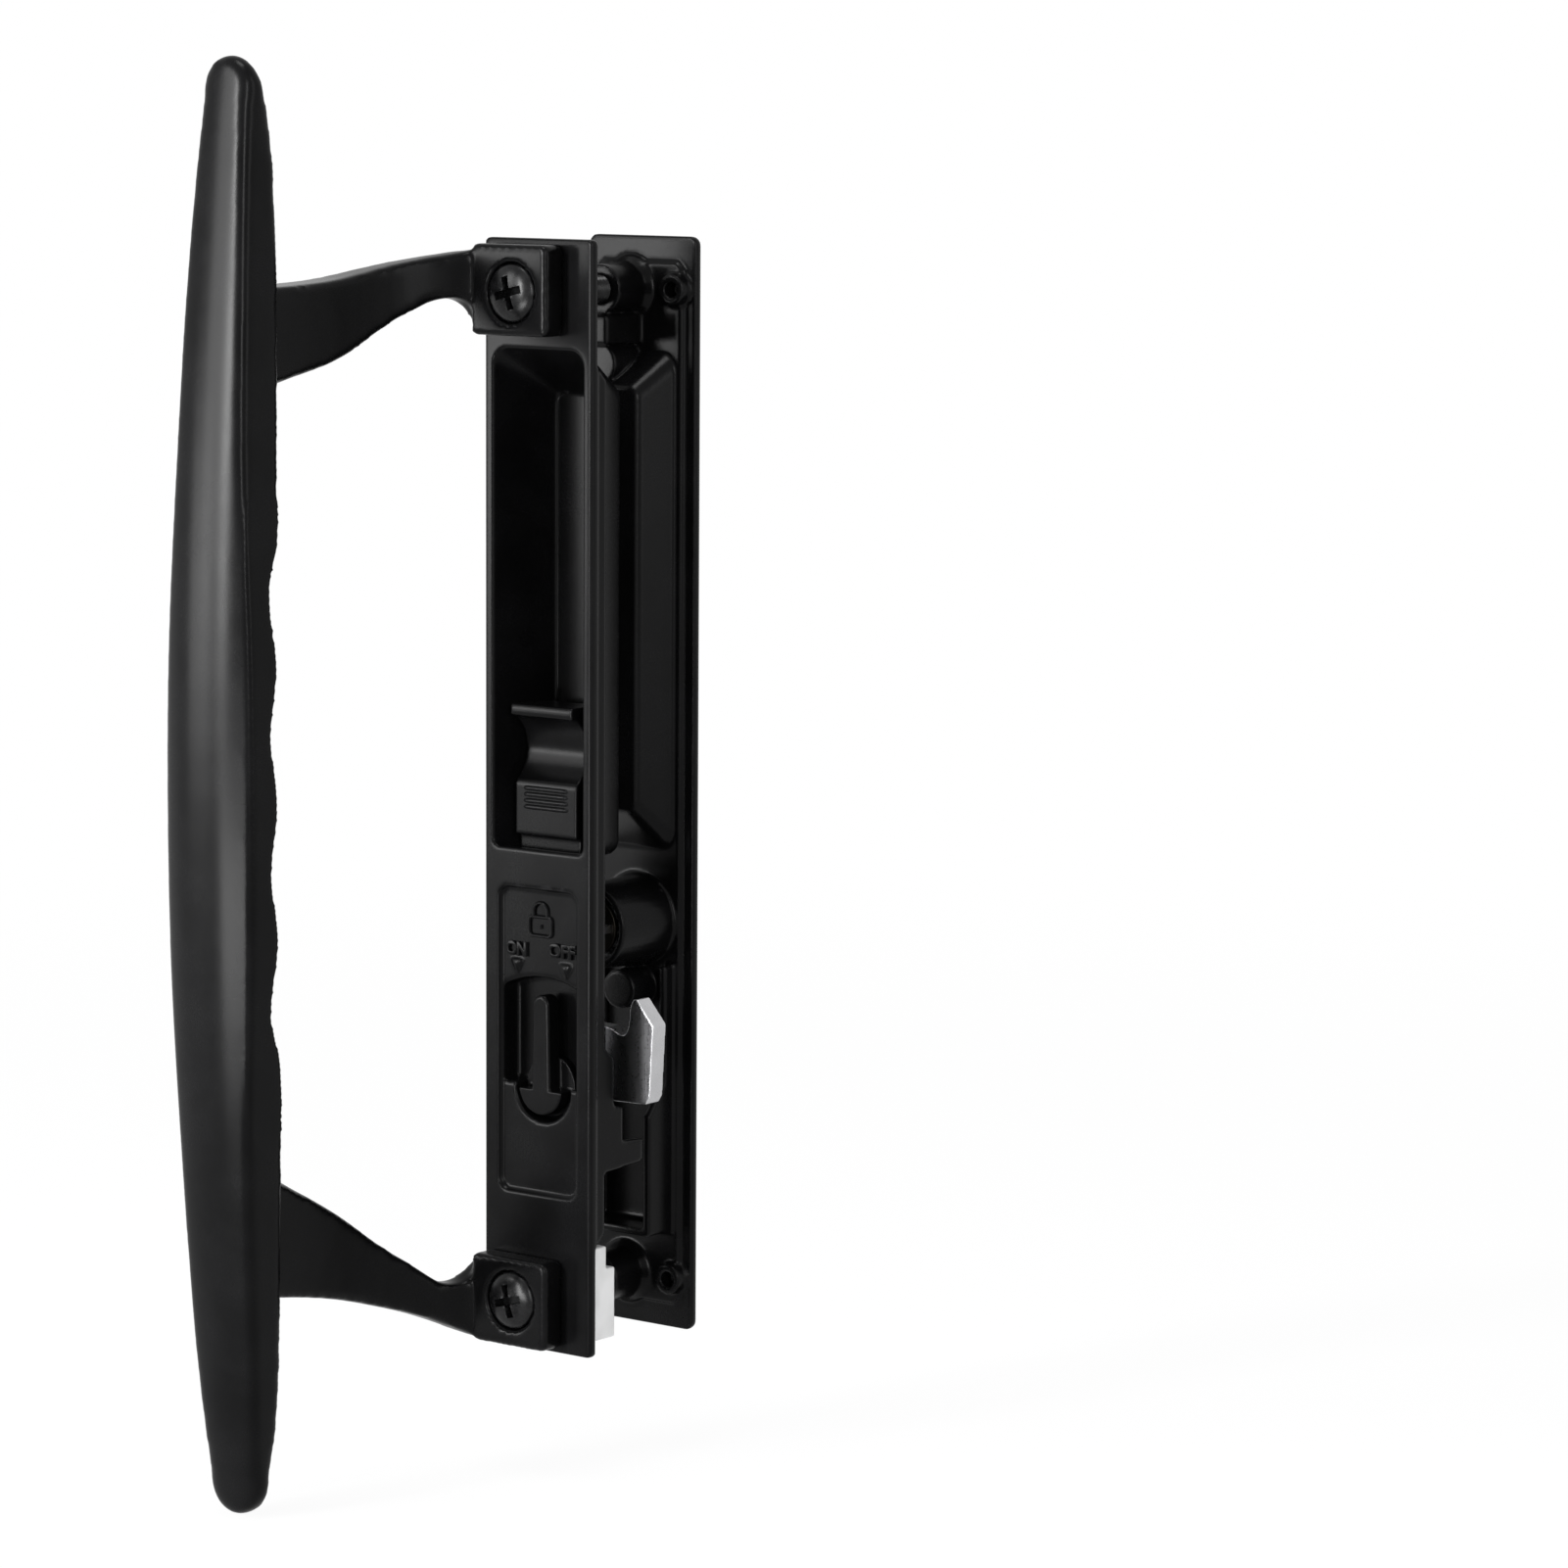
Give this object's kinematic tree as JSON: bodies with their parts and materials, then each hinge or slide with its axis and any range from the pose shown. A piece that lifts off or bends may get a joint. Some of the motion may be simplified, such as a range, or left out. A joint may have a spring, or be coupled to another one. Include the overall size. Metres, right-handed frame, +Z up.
{
  "type": "sliding patio door handle set",
  "caption": "Black sliding patio door handle set: arched pull with finger scallops, inside plate with cup, thumb slide and night-lock lever, steel latch hook, outside plate with key cylinder.",
  "frame": {"origin": "centre of the inside plate's outline, on the inside face of the door", "axes": "+X along the door towards the jamb side where the hook stands out, +Y from the inside through the door to the outside, +Z up along the stile"},
  "size_m": [0.0463, 0.0896, 0.2368],
  "materials": {
    "black_casting": "satin black powder coat",
    "black_screw": "black oxide, semi-gloss",
    "zinc_steel": "zinc-plated stamping",
    "spring_steel": "drawn wire and clips",
    "plug_brass": "turned brass",
    "white_plastic": "moulded nylon"
  },
  "bodies": {
    "frame": {"pull_handle": "black_casting", "front_plate": "black_casting", "rear_plate": "black_casting", "mounting_screws": "black_screw", "latch_spring": "spring_steel", "spring_pin": "spring_steel", "bar_guide": "zinc_steel", "guide_screws": "zinc_steel", "lower_spacer": "white_plastic"},
    "latch": {"thumb_slide": "black_casting", "slide_bar": "zinc_steel", "slide_screws": "zinc_steel", "latch_hook": "zinc_steel", "hook_rivets": "zinc_steel"},
    "night_lock": {"night_lock_lever": "black_casting", "night_lock_cam": "zinc_steel", "cam_clip": "spring_steel"},
    "key_cylinder": {"key_plug": "plug_brass", "wafer_tumblers": "plug_brass", "cylinder_tailpiece": "zinc_steel", "tailpiece_pin": "spring_steel", "plug_clip": "spring_steel"}
  },
  "joints": [
    {"name": "latch_slide", "type": "slide", "parent": "frame", "child": "latch", "axis": [0, 0, -1], "range_m": [0, 0.006], "stiffness_N_per_m": 250, "springref_m": -0.008, "deforming": ["latch_spring"]},
    {"name": "night_lock_turn", "type": "hinge", "parent": "frame", "child": "night_lock", "pos_m": [0.0005, 0, -0.0483], "axis": [0, 1, 0], "range_deg": [-15, 15]},
    {"name": "key_turn", "type": "hinge", "parent": "frame", "child": "key_cylinder", "pos_m": [0.0005, 0.02, -0.0227], "axis": [0, 1, 0], "range_deg": [-30, 30]}
  ]
}
